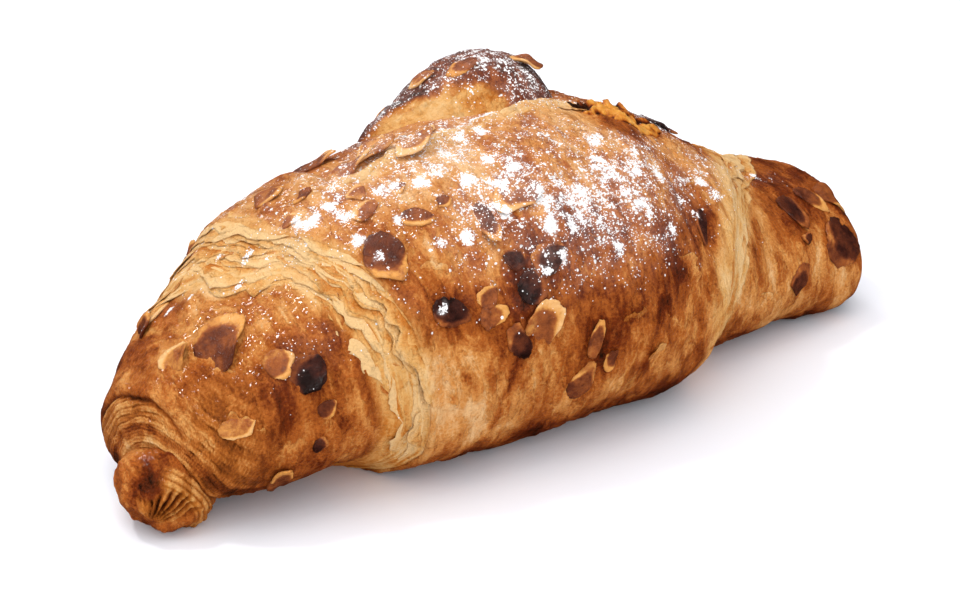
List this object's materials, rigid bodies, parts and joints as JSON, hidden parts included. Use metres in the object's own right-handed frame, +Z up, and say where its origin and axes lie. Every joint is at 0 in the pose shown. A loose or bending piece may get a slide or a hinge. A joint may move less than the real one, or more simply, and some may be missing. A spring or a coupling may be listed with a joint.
{
  "type": "almond croissant",
  "caption": "Baked almond croissant of flaky laminated dough, rolled into a straight horn shape with a puffed hump on top and toasted almond slices on its crust.",
  "frame": {"origin": "on the flat underside, in the middle between the tips of the two horns", "axes": "+X along the roll from the curled horn to the blunt horn, +Y to the back, +Z up"},
  "size_m": [0.1835, 0.0849, 0.0674],
  "materials": {
    "crust": "baked golden-brown crust, satin where it was glazed with egg, with sugar dust and toasted almonds"
  },
  "bodies": {
    "root": {"croissant": "crust"}
  },
  "joints": []
}
